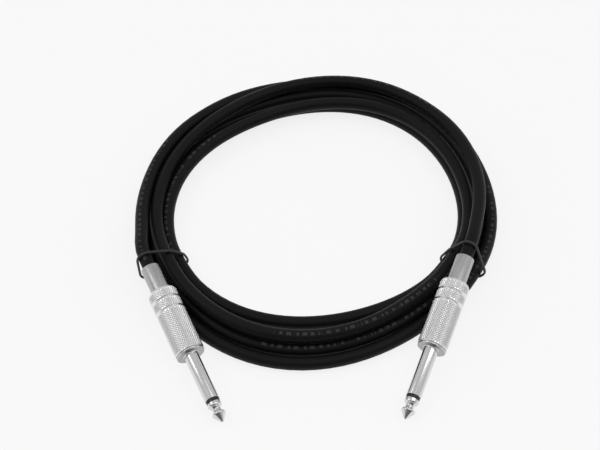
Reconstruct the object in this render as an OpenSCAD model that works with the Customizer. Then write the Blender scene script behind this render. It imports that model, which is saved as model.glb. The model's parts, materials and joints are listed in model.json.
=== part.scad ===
// Instrument cable: a coiled shielded lead with a straight 6.35 mm mono plug on each end.
// Frame: millimetres, +Z up, origin under the middle of the whole object, on the surface it lies on.
// Each plug is drawn along its own +Z, from the point of its tip (0) back to its cable end.
// In a plug, +Y is the side of the ground tag and -Y the side of the tip lug.

/* [Cable] */
// Diameter of the cable's jacket
cable_d = 6; // [5.6:0.1:6.3]
// Diameter of the insulation round the centre conductor
core_d = 2.2; // [1.8:0.1:2.6]
// Diameter of the stranded centre conductor
conductor_d = 0.9; // [0.6:0.1:1.2]
// Diameter of the shield, twisted into a tail
pigtail_d = 1.2; // [0.9:0.1:1.4]

/* [Coil] */
// Number of turns from the left plug to the right one
turns = 4.67; // [4.6:0.01:4.7]
// Mean radius of the innermost lane of turns
loop_r = 63.5; // [62:0.2:70]
// Amount by which the loop is wider one way than the other
oval = 4.7; // [2:0.1:6]
// Clear gap between neighbouring turns of one layer
turn_gap = 0.6; // [0.5:0.1:1.2]
// Clear gap between the lower and the upper layer
layer_gap = 0.5; // [0.5:0.1:1]

/* [Contacts] */
// Length of the tip contact ahead of the insulating ring
tip_l = 9.1; // [8.6:0.1:9.4]
// Diameter of the cone behind the point
crest_d = 6; // [5.8:0.1:6.2]
// Distance from the point to the cone's widest place
crest_at = 4; // [3.8:0.1:4.2]
// Diameter of the waist that a socket's spring drops into
neck_d = 3.8; // [3.6:0.1:4.2]
// Distance from the point to the waist
neck_at = 6; // [5.8:0.1:6.2]
// Diameter of the shoulder behind the waist
shoulder_d = 6; // [5.8:0.05:6]
// Width of the insulating ring
ring_w = 1.6; // [1.2:0.1:2]
// Diameter of the centre rod that carries the signal
rod_d = 2.4; // [2:0.1:2.8]
// Wall of the insulator round the rod
insulator_wall = 0.85; // [0.6:0.05:1]

/* [Plug body] */
// Diameter of the sleeve contact
sleeve_d = 6.35; // [6.3:0.01:6.4]
// Length of tip, ring and sleeve in front of the flange
reach = 33.3; // [31:0.1:34]
// Amount by which the flange is smaller than the barrel, across
flange_step = 0.4; // [0.2:0.1:1]
// Thickness of the flange
flange_t = 0.6; // [0.6:0.1:2]
// Diameter of the threaded boss behind the flange
boss_d = 10.2; // [9.8:0.1:10.4]
// Length of the threaded boss
boss_l = 7; // [6:0.1:8]
// Diameter of the spigot that the ground tag is swaged on
spigot_d = 5.4; // [5.2:0.1:5.8]

/* [Tags] */
// Thickness of the ground tag's sheet
tag_t = 0.6; // [0.5:0.05:0.7]
// Width of the ground tag's strap
tag_w = 4; // [3:0.1:4.4]
// Length of the clamp round the cable
clamp_l = 4; // [3:0.1:4.2]
// Opening of the clamp, as an angle
clamp_gap_angle = 80; // [60:5:120]
// Thickness of the tip lug's sheet
lug_t = 0.6; // [0.5:0.05:0.7]
// Width of the tip lug's strap
lug_w = 2.4; // [2:0.1:2.8]
// Clearance from the end of the tip lug's strap to the jacket's cut end
lug_to_jacket = 1.8; // [1.4:0.1:2.4]

/* [Barrel] */
// Wall of the barrel round the threaded boss
barrel_wall = 1.1; // [0.9:0.05:1.3]
// Amount by which the barrel is smaller at its rear than at its front, across
barrel_taper = 0.1; // [0:0.05:0.6]
// Length of the barrel
barrel_l = 32; // [31:0.1:34]
// Thickness of the barrel's solid rear end
rear_wall = 8; // [7.8:0.1:8.2]
// Size of the slope on the barrel's rear edge, along the barrel
rear_slope = 1; // [0.6:0.1:1.6]
// Depth of that slope
rear_slope_depth = 0.5; // [0.3:0.05:0.8]
// Width of each turned groove
groove_w = 1; // [0.8:0.1:1.4]
// Depth of each turned groove
groove_depth = 0.5; // [0.4:0.05:0.8]
// Distance from the barrel's rear face to the first groove
groove_at = 5.4; // [4:0.1:6]
// Distance from the first groove to the second
groove_step = 5.2; // [4:0.1:6]
// Pitch of the screw thread
pitch = 0.75; // [0.5:0.05:1]

/* [Rear tube] */
// Outer diameter of the rear tube
tube_d = 8.2; // [7.8:0.1:8.4]
// Bore of the rear tube, which the cable passes through
tube_bore = 7; // [6.8:0.1:7.2]
// Length of the rear tube behind the barrel
tube_l = 13.5; // [12:0.1:14]
// Thickness of the collar that holds the tube in the barrel
collar_t = 0.8; // [0.6:0.1:1]

/* [Liner] */
// Wall of the insulating liner in the barrel
liner_wall = 0.35; // [0.2:0.05:0.4]

/* [Ties] */
// Thickness of a tie
tie_d = 1.2; // [1:0.1:1.2]

/* [Hidden] */
// Radial clearances
screw_gap = 0.25;
liner_gap = 0.1;
slip_gap = 0.05;
press_gap = 0.02;
// Gap along the plug between pieces that slide past each other
end_gap = 0.2;
// Depth of the thread's undercut, which is one pitch wide, and of its first edge
relief = 0.54 * pitch;

// Places along a plug, from the point of the tip
ring_at = tip_l;
sleeve_at = ring_at + ring_w;
boss_at = reach + flange_t;
boss_end = boss_at + boss_l;
barrel_end = boss_at + barrel_l;
tube_end = barrel_end + tube_l;
wall_at = barrel_end - rear_wall;
collar_at = wall_at - collar_t;
clamp_end = collar_at - 3 * end_gap;
clamp_at = clamp_end - clamp_l;
jacket_at = clamp_at - 3 * end_gap;

// The spigot with its swaged lip, the rear bush and the riveted lug, one behind the other
lip_l = 0.6;
lip_d = spigot_d + 0.5;
spigot_end = boss_end + tag_t + lip_l;
bush_l = 1;
bush_d = 4.8;
lug_at = spigot_end + bush_l;
rivet_l = 0.6;
rivet_d = rod_d + 1;
rod_end = lug_at + lug_t + rivet_l;
lug_l = jacket_at - lug_to_jacket - lug_at;

// The wires share the room from the rivet to the jacket: half of it is bare core, and each wire
// bends to its tag within a quarter and ends an eighth short of the rivet
wire_room = jacket_at - rod_end;
conductor_at = jacket_at - wire_room / 2;
wire_bend = wire_room / 4;
wire_end = rod_end + wire_room / 8;

insulator_bore = rod_d + 2 * slip_gap;
insulator_d = insulator_bore + 2 * insulator_wall;
sleeve_bore = insulator_d + 2 * slip_gap;
barrel_bore = boss_d + 2 * screw_gap;
barrel_d = barrel_bore + 2 * barrel_wall;
flange_d = barrel_d - flange_step;
clamp_bore = cable_d + 2 * slip_gap;
lug_d = rivet_d + 1.4;
tag_d = boss_d - 1;

// Round pieces are true circles
$fn = 64;

// Where each plug's tip points: turn seen from above, and fall towards the point
LEFT = 0;
RIGHT = 1;
plug_turn = [25.8, -22.2];
plug_fall = [8, 10.8];

// The coil, seen from above, runs clockwise from the left plug to the right one
coil_x = -1.7;
coil_y = 13.3;
coil_start = 210;
oval_at = 20;
// Smaller unevenness of the loop: three and four times round
three_wave = 1;
three_at = 86;
four_wave = 0.9;
four_at = -30;
turn_step = cable_d + turn_gap;
layer_rise = cable_d + layer_gap;
// The lowest turns are cut flat where they lie, a tenth of the cable's diameter deep
lying_depth = cable_d / 10;
ground_z = cable_d / 2 - lying_depth;
// The lower layer spirals in up to this turn, and the upper one spirals out after it
reversal = 3.1;
climb_turns = 0.5;
// The lanes open up at the front and, less, at the back
front_fan = 13;
back_fan = 5.1;
fan_rate = 1.5;
// The upper layer steps outwards at the front and at the back
front_step = 4.3;
back_step = 7.4;
step_turns = 0.45;
// The first turn starts over the lower ones, inside its lane
start_inset = 8.8;
inset_from = 0.03;
inset_to = 0.26;
fall_from = 0.15;
fall_to = 0.36;
// The last part rises over the bundle to the right plug
end_z = 15.6;
end_rise_from = 0.31;
end_rise_turns = 0.2;
// The turns lift over the ties
tie_lift = 2.2;
tie_lift_width = 14;

// Each end leaves its plug straight, then bends into the coil
straight_l = 9;
blend_l = 50;
bend_r = 72;
level_l = 12;
turn_length = 2 * PI * 78;

// Steps of the swept tubes
rings_per_turn = 24;
sides = 6;
wire_sides = 12;
tie_rings = 40;

// Place of each plug's point, measured from the loop's edge at its tie
tip_from_loop = [[18.03, -85.38, 3.2], [-20.27, -83.38, 2.5]];

// Ties: angle round the coil, gap to the turns, and slack where the band stands off on both sides
tie_angle = [207.3, -27.6];
tie_gap = 0.9;
tie_slack = 2.5;
tie_turn_r = 3;

// ---------- small functions ----------

// Smooth step from 0 to 1
function smooth(t) = let(c = min(1, max(0, t))) c * c * (3 - 2 * c);
// Angle brought into -180 to 180
function wrap(a) = ((a % 360) + 540) % 360 - 180;
// Bump of height 1 round an angle
function bump(a, centre, width) =
    let(d = abs(wrap(a - centre))) d < width ? pow(cos(90 * d / width), 2) : 0;
function unit(v) = v / norm(v);

// ---------- the cable's route ----------

// A plug's point, which keeps its place beside the loop's edge at the tie
function tip_point(side) =
    [coil_x, coil_y, 0] + loop_r * [cos(tie_angle[side]), sin(tie_angle[side]), 0] + tip_from_loop[side];
// Direction from a plug's point to its cable end, and points on its axis
function rearward(side) =
    let(a = plug_turn[side], b = plug_fall[side]) [-sin(a) * cos(b), cos(a) * cos(b), sin(b)];
function on_axis(side, s) = tip_point(side) + s * rearward(side);

// Angle round the coil at turn u, which counts from the left plug
function angle_at(u) = coil_start - 360 * u;
function front_share(u) = let(s = sin(angle_at(u))) s < 0 ? pow(s, 4) : 0;
function back_share(u) = let(s = sin(angle_at(u))) s > 0 ? s * s : 0;

// Lanes outside the innermost one, with a smooth reversal
function lane(u) = let(v = u - reversal) abs(v) < 0.25 ? 2 * v * v + 0.125 : abs(v);
function climb(u) = smooth((u - reversal) / climb_turns + 0.5);
function step_out(u) = smooth((u - reversal - climb_turns / 2) / step_turns);
function fan(u) = (front_fan * front_share(u) + back_fan * back_share(u)) * (1 - exp(-fan_rate * lane(u)));
function upper_step(u) = (front_step * front_share(u) + back_step * back_share(u)) * step_out(u);
function first_inset(u) = start_inset * (1 - smooth((u - inset_from) / (inset_to - inset_from)));
function coil_radius(u) =
    loop_r + oval * cos(2 * (angle_at(u) - oval_at))
    + three_wave * cos(3 * (angle_at(u) - three_at)) + four_wave * cos(4 * (angle_at(u) - four_at))
    + turn_step * lane(u) + fan(u) + upper_step(u) - first_inset(u);

function lift(u) = tie_lift * (bump(angle_at(u), tie_angle[LEFT], tie_lift_width)
    + bump(angle_at(u), tie_angle[RIGHT], tie_lift_width));
function start_height(u) = 1 - smooth((u - fall_from) / (fall_to - fall_from));
function end_rise(u) = smooth((u - turns + end_rise_from) / end_rise_turns);
function coil_z(u) =
    ground_z + lift(u) + layer_rise * (climb(u) + start_height(u))
    + (end_z - layer_rise - ground_z) * end_rise(u);

function in_coil(u) = let(a = angle_at(u), r = coil_radius(u))
    [coil_x + r * cos(a), coil_y + r * sin(a), coil_z(u)];

// Run-out behind a plug: straight, then an arc towards the coil, levelling out
function run_out(side, d) =
    let(back = rearward(side), level = norm([back.x, back.y]))
    let(ahead = [back.x, back.y, 0] / level)
    let(across = (side == LEFT ? 1 : -1) * [ahead.y, -ahead.x, 0])
    let(straight = min(d, straight_l), bent = max(d - straight_l, 0), turned = bent / bend_r * 180 / PI)
    on_axis(side, tube_end)
    + (straight * level + bend_r * sin(turned)) * ahead
    + bend_r * (1 - cos(turned)) * across
    + [0, 0, back.z * (straight + level_l * (1 - exp(-bent / level_l)))];
function end_weight(d) = 1 - smooth((d - straight_l) / (blend_l - straight_l));
function toward(p, side, d) =
    d < blend_l ? p * (1 - end_weight(d)) + run_out(side, d) * end_weight(d) : p;
function route(u) =
    toward(toward(in_coil(u), LEFT, u * turn_length), RIGHT, (turns - u) * turn_length);

// Turns at which the tube has a ring: both ends of each straight part, and 24 a turn between
straight_turn = straight_l / turn_length;
ring_turns = [
    0, straight_turn,
    for (k = [1 : floor(turns * rings_per_turn)])
        if (k / rings_per_turn < turns - 1.3 * straight_turn) k / rings_per_turn,
    turns - straight_turn, turns
];
nudge = 0.001;
function heading(u) = unit(route(min(turns, u + nudge)) - route(max(0, u - nudge)));
cable_points = concat(
    [on_axis(LEFT, jacket_at)],
    [for (u = ring_turns) route(u)],
    [on_axis(RIGHT, jacket_at)]
);
cable_headings = concat(
    [rearward(LEFT)],
    [for (u = ring_turns) heading(u)],
    [-rearward(RIGHT)]
);

// Least gap of the cable to itself, measured between points along its straight pieces
gap_steps = 4;
gap_samples = [
    for (i = [0 : len(ring_turns) - 2], k = [0 : gap_steps - 1])
        let(t = k / gap_steps)
        [
            ring_turns[i] * (1 - t) + ring_turns[i + 1] * t,
            cable_points[i + 1] * (1 - t) + cable_points[i + 2] * t
        ]
];
least_gap = min([
    for (a = gap_samples) min([
        for (b = gap_samples) b[0] - a[0] > 0.5 ? norm(a[1] - b[1]) : 1000
    ])
]) - cable_d;
echo(least_gap_of_cable_mm = least_gap);  // cable
// Length of the cable along its points
function path_length(p, i = 1) = i >= len(p) ? 0 : norm(p[i] - p[i - 1]) + path_length(p, i + 1);
echo(cable_length_mm = path_length(cable_points));  // cable

// ---------- helpers ----------

// Puts a piece drawn along +Z from the tip's point on its plug
module on_plug(side) {
    translate(tip_point(side)) rotate([plug_fall[side] - 90, 0, plug_turn[side]]) children();
}

// Ring with a bore
module tube_piece(outer_d, bore_d, from, to) {
    difference() {
        translate([0, 0, from]) cylinder(d = outer_d, h = to - from);
        translate([0, 0, from - 1]) cylinder(d = bore_d, h = to - from + 2);
    }
}

// Turned piece: points are [radius, place along the plug]
module turned(points) {
    rotate_extrude() polygon(points);
}

// Closed tube: a list of rings, each of as many points; joined end to end or capped
module tube_mesh(rings, closed) {
    n = len(rings);
    m = len(rings[0]);
    points = [for (ring = rings) each ring];
    last = closed ? n - 1 : n - 2;
    skin = [
        for (i = [0 : last], j = [0 : m - 1])
            let(a = i * m + j, b = i * m + (j + 1) % m, k = ((i + 1) % n) * m)
            let(c = k + (j + 1) % m, d = k + j)
            each [[a, b, c], [a, c, d]]
    ];
    caps = closed ? [] : [
        for (j = [1 : m - 2]) each [[0, j + 1, j], [(n - 1) * m, (n - 1) * m + j, (n - 1) * m + j + 1]]
    ];
    polyhedron(points = points, faces = concat(skin, caps));
}

// Thin wire through points of the plane x = 0, with a ring square to the wire at each point
module wire(points, d) {
    end = len(points) - 1;
    tube_mesh([
        for (i = [0 : end])
            let(t = unit(points[min(end, i + 1)] - points[max(0, i - 1)]), across = cross([1, 0, 0], t))
            [
                for (j = [0 : wire_sides - 1])
                    let(f = 360 * j / wire_sides)
                    points[i] + d / 2 * (cos(f) * [1, 0, 0] + sin(f) * across)
            ]
    ], false);
}

// ---------- cable and ties ----------

// Ring of the cable at a point, flat underneath where it would pass through the surface
function cable_ring(p, t) =
    let(side = unit(cross(t, [0, 0, 1])), up = cross(side, t))
    [
        for (j = [0 : sides - 1])
            let(q = p + cable_d / 2 * (cos(360 * j / sides) * side + sin(360 * j / sides) * up))
            [q.x, q.y, max(0, q.z)]
    ];

module cable() {
    color([0.07, 0.07, 0.08])
        tube_mesh([for (i = [0 : len(cable_points) - 1]) cable_ring(cable_points[i], cable_headings[i])], false);
}

// Turn at which the cable passes a tie, corrected for the blend at the plugs
function turn_at_tie(side, u, tries = 4) =
    let(p = route(u), off = wrap(atan2(p.y - coil_y, p.x - coil_x) - tie_angle[side]))
    tries == 0 ? u : turn_at_tie(side, u + off / 360, tries - 1);
// The turns in a tie's plane: distance from the coil's axis, and height
function turns_in_tie(side) =
    let(first = (360 + coil_start - tie_angle[side]) % 360 / 360)
    [
        for (u = first; u < turns; u = u + 1)
            let(p = route(turn_at_tie(side, u)))
            [norm([p.x - coil_x, p.y - coil_y]), p.z]
    ];
// Circles that the band is drawn round: each turn with its gap, and the slack on both sides
function tie_rounds(side) =
    let(t = turns_in_tie(side), across = [for (c = t) c.x], up = [for (c = t) c.y])
    let(mid = (min(up) + max(up)) / 2, beyond = cable_d / 2 + tie_slack - tie_turn_r)
    concat(
        [for (c = t) [c, (cable_d + tie_d) / 2 + tie_gap]],
        [
            [[min(across) - beyond, mid], tie_turn_r],
            [[max(across) + beyond, mid], tie_turn_r]
        ]
    );
// The band touches, in each direction, the circle that reaches out farthest
function tie_point(rounds, out) =
    let(reaches = [for (c = rounds) c[0] * out + c[1]], c = rounds[search(max(reaches), reaches)[0]])
    c[0] + c[1] * out;
function tie_ring(rounds, a) =
    let(out = [cos(a), sin(a)], p = tie_point(rounds, out), z = max(tie_d / 2, p.y))
    [
        for (j = [0 : sides - 1])
            let(f = 360 * j / sides)
            [p.x, 0, z] + tie_d / 2 * [cos(f) * out.x, -sin(f), cos(f) * out.y]
    ];

module tie(side) {
    color([0.05, 0.05, 0.05])
        translate([coil_x, coil_y, 0]) rotate([0, 0, tie_angle[side]])
            tube_mesh([for (i = [0 : tie_rings - 1]) tie_ring(tie_rounds(side), 360 * i / tie_rings)], true);
}

// ---------- contacts ----------

// Tip contact and the rod behind it, riveted over the tip lug
module tip(side) {
    rise = tip_l / 10;
    color([0.82, 0.82, 0.8]) on_plug(side)
        turned([
            [0, 0], [0.4, 0.05], [0.75, 0.3],
            [crest_d / 2 - 0.15, crest_at - 0.35], [crest_d / 2, crest_at], [crest_d / 2 - 0.1, crest_at + 0.3],
            [neck_d / 2 + 0.1, neck_at - 0.25], [neck_d / 2, neck_at], [neck_d / 2 + 0.1, neck_at + 0.25],
            [shoulder_d / 2 - 0.2, tip_l - rise - 0.3], [shoulder_d / 2, tip_l - rise],
            [shoulder_d / 2, tip_l], [rod_d / 2, tip_l],
            [rod_d / 2, lug_at + lug_t], [rivet_d / 2, lug_at + lug_t],
            [rivet_d / 2 - 0.3, rod_end], [0, rod_end]
        ]);
}

module tip_ring(side) {
    color([0.06, 0.06, 0.06]) on_plug(side)
        tube_piece(shoulder_d, insulator_bore, ring_at, sleeve_at);
}

// Sleeve contact, flange, threaded boss and the spigot that is swaged over the ground tag
module plug_body(side) {
    color([0.8, 0.8, 0.79]) on_plug(side)
        turned([
            [sleeve_bore / 2, sleeve_at], [sleeve_d / 2, sleeve_at], [sleeve_d / 2, reach],
            [flange_d / 2 - 0.3, reach], [flange_d / 2, reach + 0.3], [flange_d / 2, boss_at],
            [boss_d / 2 - relief, boss_at], [boss_d / 2 - relief, boss_at + pitch],
            [boss_d / 2, boss_at + pitch + relief],
            [boss_d / 2, boss_end - relief], [boss_d / 2 - relief, boss_end],
            [spigot_d / 2, boss_end], [spigot_d / 2, boss_end + tag_t],
            [lip_d / 2, boss_end + tag_t], [lip_d / 2 - 0.2, spigot_end], [sleeve_bore / 2, spigot_end]
        ]);
}

module rod_insulator(side) {
    color([0.9, 0.89, 0.85]) on_plug(side)
        tube_piece(insulator_d, insulator_bore, sleeve_at, spigot_end);
}

module rear_bush(side) {
    color([0.55, 0.38, 0.22]) on_plug(side)
        tube_piece(bush_d, insulator_bore, spigot_end, lug_at);
}

// ---------- solder tags ----------

// Lug on the rod's end: a washer with a strap that the conductor is soldered to
module tip_lug(side) {
    color([0.75, 0.74, 0.7]) on_plug(side) {
        difference() {
            union() {
                translate([0, 0, lug_at]) cylinder(d = lug_d, h = lug_t);
                translate([-lug_w / 2, -lug_d / 2, lug_at]) cube([lug_w, lug_t, lug_l]);
            }
            translate([0, 0, lug_at - 1]) cylinder(d = insulator_bore, h = lug_t + 2);
        }
    }
}

// Ground tag: a washer on the spigot, a strap along the cable and a clamp round its jacket
module ground_tag(side) {
    clamp_d = clamp_bore + 2 * tag_t;
    color([0.76, 0.75, 0.72]) on_plug(side) {
        tube_piece(tag_d, spigot_d + 2 * slip_gap, boss_end, boss_end + tag_t);
        translate([-tag_w / 2, clamp_bore / 2, boss_end])
            cube([tag_w, tag_t, clamp_end - boss_end]);
        difference() {
            translate([0, 0, clamp_at]) cylinder(d = clamp_d, h = clamp_l);
            translate([0, 0, clamp_at - 1]) cylinder(d = clamp_bore, h = clamp_l + 2);
            translate([0, 0, clamp_at - 1]) linear_extrude(clamp_l + 2)
                polygon([
                    [0, 0],
                    clamp_d * [-tan(clamp_gap_angle / 2), -1],
                    clamp_d * [tan(clamp_gap_angle / 2), -1]
                ]);
        }
    }
}

// ---------- barrel ----------

// Outer radius of the barrel at a place along the plug
function barrel_r(s) = (barrel_d - barrel_taper * (s - boss_at) / barrel_l) / 2;
function groove(s) = [
    [barrel_r(s - groove_w / 2), s - groove_w / 2],
    [barrel_r(s) - groove_depth, s - groove_w / 8],
    [barrel_r(s) - groove_depth, s + groove_w / 8],
    [barrel_r(s + groove_w / 2), s + groove_w / 2]
];

module barrel(side) {
    hole = tube_d + 2 * press_gap;
    first = barrel_end - groove_at;
    color([0.62, 0.62, 0.6]) on_plug(side)
        turned(concat(
            [
                [barrel_bore / 2, boss_at],
                [barrel_r(boss_at) - 0.3, boss_at],
                [barrel_r(boss_at), boss_at + 0.3]
            ],
            groove(first - groove_step),
            groove(first),
            [
                [barrel_r(barrel_end - rear_slope), barrel_end - rear_slope],
                [barrel_r(barrel_end) - rear_slope_depth, barrel_end]
            ],
            [[hole / 2, barrel_end], [hole / 2, wall_at], [barrel_bore / 2, wall_at]]
        ));
}

// Tube that the cable leaves through, held in the barrel by its collar
module rear_tube(side) {
    collar_d = barrel_bore - 2 * slip_gap;
    color([0.85, 0.85, 0.84]) on_plug(side)
        turned([
            [tube_bore / 2, collar_at], [collar_d / 2, collar_at], [collar_d / 2, wall_at],
            [tube_d / 2, wall_at], [tube_d / 2, tube_end - 0.3],
            [tube_d / 2 - 0.15, tube_end], [tube_bore / 2 + 0.1, tube_end], [tube_bore / 2, tube_end - 0.1]
        ]);
}

module liner(side) {
    liner_d = barrel_bore - 2 * liner_gap;
    color([0.86, 0.82, 0.7]) on_plug(side)
        tube_piece(liner_d, liner_d - 2 * liner_wall, boss_end + end_gap, collar_at - end_gap);
}

// ---------- wires ----------

module core_insulation(side) {
    color([0.93, 0.93, 0.9]) on_plug(side)
        translate([0, 0, conductor_at]) cylinder(d = core_d, h = jacket_at - conductor_at);
}

// Conductor from the core's end to the tip lug's strap
module core_conductor(side) {
    on_lug = -(lug_d / 2 - lug_t - conductor_d / 2 - press_gap);
    color([0.72, 0.4, 0.22]) on_plug(side)
        wire([
            [0, 0, conductor_at - press_gap], [0, 0, conductor_at - 0.5],
            [0, on_lug, conductor_at - wire_bend], [0, on_lug, wire_end]
        ], conductor_d);
}

// The shield, twisted together, from the jacket's end to the ground tag's strap
module shield_pigtail(side) {
    leave = (core_d + pigtail_d) / 2 + 0.3;
    on_tag = (clamp_bore - pigtail_d) / 2 - press_gap;
    color([0.7, 0.42, 0.25]) on_plug(side)
        wire([
            [0, leave, jacket_at - press_gap], [0, leave, jacket_at - 0.5],
            [0, on_tag, jacket_at - wire_bend], [0, on_tag, wire_end]
        ], pigtail_d);
}

cable();
tip(LEFT);  // left_tip
tip_ring(LEFT);  // left_tip_ring
plug_body(LEFT);  // left_plug_body
rod_insulator(LEFT);  // left_rod_insulator
rear_bush(LEFT);  // left_rear_bush
tip_lug(LEFT);  // left_tip_lug
ground_tag(LEFT);  // left_ground_tag
liner(LEFT);  // left_liner
barrel(LEFT);  // left_barrel
rear_tube(LEFT);  // left_rear_tube
core_insulation(LEFT);  // left_core_insulation
core_conductor(LEFT);  // left_core_conductor
shield_pigtail(LEFT);  // left_shield_pigtail
tie(LEFT);  // left_tie
tip(RIGHT);  // right_tip
tip_ring(RIGHT);  // right_tip_ring
plug_body(RIGHT);  // right_plug_body
rod_insulator(RIGHT);  // right_rod_insulator
rear_bush(RIGHT);  // right_rear_bush
tip_lug(RIGHT);  // right_tip_lug
ground_tag(RIGHT);  // right_ground_tag
liner(RIGHT);  // right_liner
barrel(RIGHT);  // right_barrel
rear_tube(RIGHT);  // right_rear_tube
core_insulation(RIGHT);  // right_core_insulation
core_conductor(RIGHT);  // right_core_conductor
shield_pigtail(RIGHT);  // right_shield_pigtail
tie(RIGHT);  // right_tie
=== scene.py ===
# %% [markdown]
# # A coiled instrument lead
# A shielded lead joins a guitar or keyboard to an amplifier: two metres of black jacket, wound in
# a flat bundle, with a straight plug on each end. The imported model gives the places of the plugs
# and of everything that fits or moves. This script gives every visible surface its true form.

# %% Load the frame
import json
import math
import bmesh
import bpy
from mathutils import Matrix, Vector, noise


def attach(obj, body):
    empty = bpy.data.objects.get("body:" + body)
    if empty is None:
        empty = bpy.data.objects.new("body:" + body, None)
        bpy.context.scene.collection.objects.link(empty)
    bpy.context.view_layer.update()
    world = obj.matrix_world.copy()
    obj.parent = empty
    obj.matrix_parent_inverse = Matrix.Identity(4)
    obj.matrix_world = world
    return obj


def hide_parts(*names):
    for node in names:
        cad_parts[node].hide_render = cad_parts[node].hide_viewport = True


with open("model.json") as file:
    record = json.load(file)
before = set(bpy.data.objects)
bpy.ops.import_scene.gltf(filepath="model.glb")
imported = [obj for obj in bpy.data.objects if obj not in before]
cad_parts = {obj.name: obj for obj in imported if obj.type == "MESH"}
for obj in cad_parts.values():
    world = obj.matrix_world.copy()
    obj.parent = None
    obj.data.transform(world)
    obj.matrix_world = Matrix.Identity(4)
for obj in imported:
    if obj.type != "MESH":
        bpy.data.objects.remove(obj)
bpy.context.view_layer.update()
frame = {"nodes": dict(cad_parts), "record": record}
MM = 0.001
SIDES = ("left", "right")

# %% [markdown]
# ## Where the plugs are
# Each plug's sleeve is a mount of the model, so its record holds a point of the plug's axis and
# the direction in which it points. Everything on a plug is then drawn along one line, in
# millimetres from the point of the tip, and put in place by one matrix.

# %% Plug frames
REACH = 33.3          # point of the tip to the flange
SLEEVE_AT = 10.7      # front edge of the sleeve
PLUG_LENGTH = 79.4    # point of the tip to the end of the rear tube


def plug_frame(side):
    """Matrix from a plug's own millimetres (z from the point back to the cable) to the model."""
    mount = next(m for m in frame["record"]["mounts"] if m["name"] == side + "_plug")
    back = -Vector(mount["axis"]).normalized()
    point = Vector(mount["pos_m"]) - back * (SLEEVE_AT + REACH) / 2 * MM
    across = back.cross(Vector((0, 0, 1))).normalized()
    down = back.cross(across)
    turn = Matrix((across, down, back)).transposed().to_4x4()
    return Matrix.Translation(point) @ turn @ Matrix.Scale(MM, 4)


PLUGS = {side: plug_frame(side) for side in SIDES}
for side in SIDES:
    print(side, "tip at", [round(v * 1000, 1) for v in PLUGS[side].translation])

# %% [markdown]
# ## Camera
# The lead lies flat and is seen from the front at fifty degrees above the table. A wide lens close
# by would frame it too, but it would swell the plugs. So a longish lens stands farther off, and
# the far side of the coil is hardly smaller than the near one.

# %% Camera
ELEVATION = 50.0
DISTANCE = 0.560
TARGET = Vector((-0.0086, 0.0014, 0.006))
camera_data = bpy.data.cameras.new("camera")
camera_data.lens = 73.0
camera_data.sensor_width = 36.0
camera = bpy.data.objects.new("camera", camera_data)
bpy.context.scene.collection.objects.link(camera)
lift = math.radians(ELEVATION)
camera.location = TARGET + DISTANCE * Vector((0, -math.cos(lift), math.sin(lift)))
camera.rotation_euler = (math.pi / 2 - lift, 0, 0)
bpy.context.scene.camera = camera
print("camera at", [round(v, 3) for v in camera.location])

# %% [markdown]
# ## The cable's route
# A lead is wound by hand: the lower turns spiral inwards, the cable climbs a layer, and the upper
# turns spiral out again over them. The route is a formula in turns, counted from the left plug,
# with the same terms as the model's. Real jackets touch, so the layers lie a diameter apart, and
# a table lays each eighth of a turn a little in or out, so that fewer gaps show between turns.
# The formula is design, but the table is data: a separate fitting program worked its numbers out,
# and they were only rounded to a tenth of a millimetre. With zeros in it the route is the
# formula's own, and that would be the cleaner way.

# %% Sizes of the coil, and small curves
CABLE_D = 6.0
COIL_CENTRE = Vector((-1.7, 13.3))
TURNS = 4.67
FIRST_ANGLE = 210
MEAN_R = 78
TURN_LENGTH = math.tau * MEAN_R
TIE_ANGLE = {"left": 207.3, "right": -27.6}


def smooth(t):
    t = min(1.0, max(0.0, t))
    return t * t * (3 - 2 * t)


def over(u, span):
    """Smoothly from 0 to 1 over a span, given as its start and its length."""
    return smooth((u - span[0]) / span[1])


def wrap(angle):
    return (angle + 180) % 360 - 180


def bump(angle, centre, width):
    d = abs(wrap(angle - centre))
    return math.cos(math.radians(90 * d / width)) ** 2 if d < width else 0.0


def angle_at(u):
    return FIRST_ANGLE - 360 * u


# %% Offsets of the turns
LAID_PER_TURN = 8
# mm outwards; fitted by a separate program, not chosen by hand
LAID = (0.6, 1.1, 0.8, 0.1, -0.4, -1.0, -0.8, -0.3, -0.9, -0.9, -0.3, 0.2, 0.0, -0.2, 0.2, 1.0,
        0.0, -0.4, -0.4, -0.6, -0.1, 0.0, 0.3, 0.2, 0.2, 0.4, 0.3, 0.3, 0.8, 1.7, 1.2, -0.8, -0.5,
        -0.3, -1.0, -0.1, 2.0, 1.4, -0.2)


def laid(u):
    """The table's offset in mm at turn u, on a smooth curve through its numbers."""
    i = min(int(LAID_PER_TURN * u), len(LAID) - 2)
    f = LAID_PER_TURN * u - i
    a, b, c, d = (LAID[min(max(i + k, 0), len(LAID) - 1)] for k in (-1, 0, 1, 2))
    return b + 0.5 * f * (c - a + f * (2 * a - 5 * b + 4 * c - d + f * (3 * (b - c) + d - a)))


# %% Radius of the coil
BASE_R = 63.5
WAVES = ((4.7, 2, 20), (1.0, 3, 86), (0.9, 4, -30))    # size in mm, waves per turn, direction
LANE = 6.6            # what each turn adds to the radius
FAN = (13.0, 5.1)     # how far the turns spread in front and behind
FAN_OPENING = 1.5     # how soon they do so, away from the reversal
REVERSAL = 3.1        # the turn at which the spiral goes out again
OUTWARD = (4.3, 7.4)  # extra room after it, in front and behind
OUTWARD_SPAN = (REVERSAL + 0.25, 0.45)
INWARD_START = 8.8    # the first stretch starts this far inside
INWARD_SPAN = (0.03, 0.23)


def lanes(u):
    """Turns away from the reversal, rounded where the cable turns back."""
    v = abs(u - REVERSAL)
    return 2 * v * v + 0.125 if v < 0.25 else v


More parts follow.
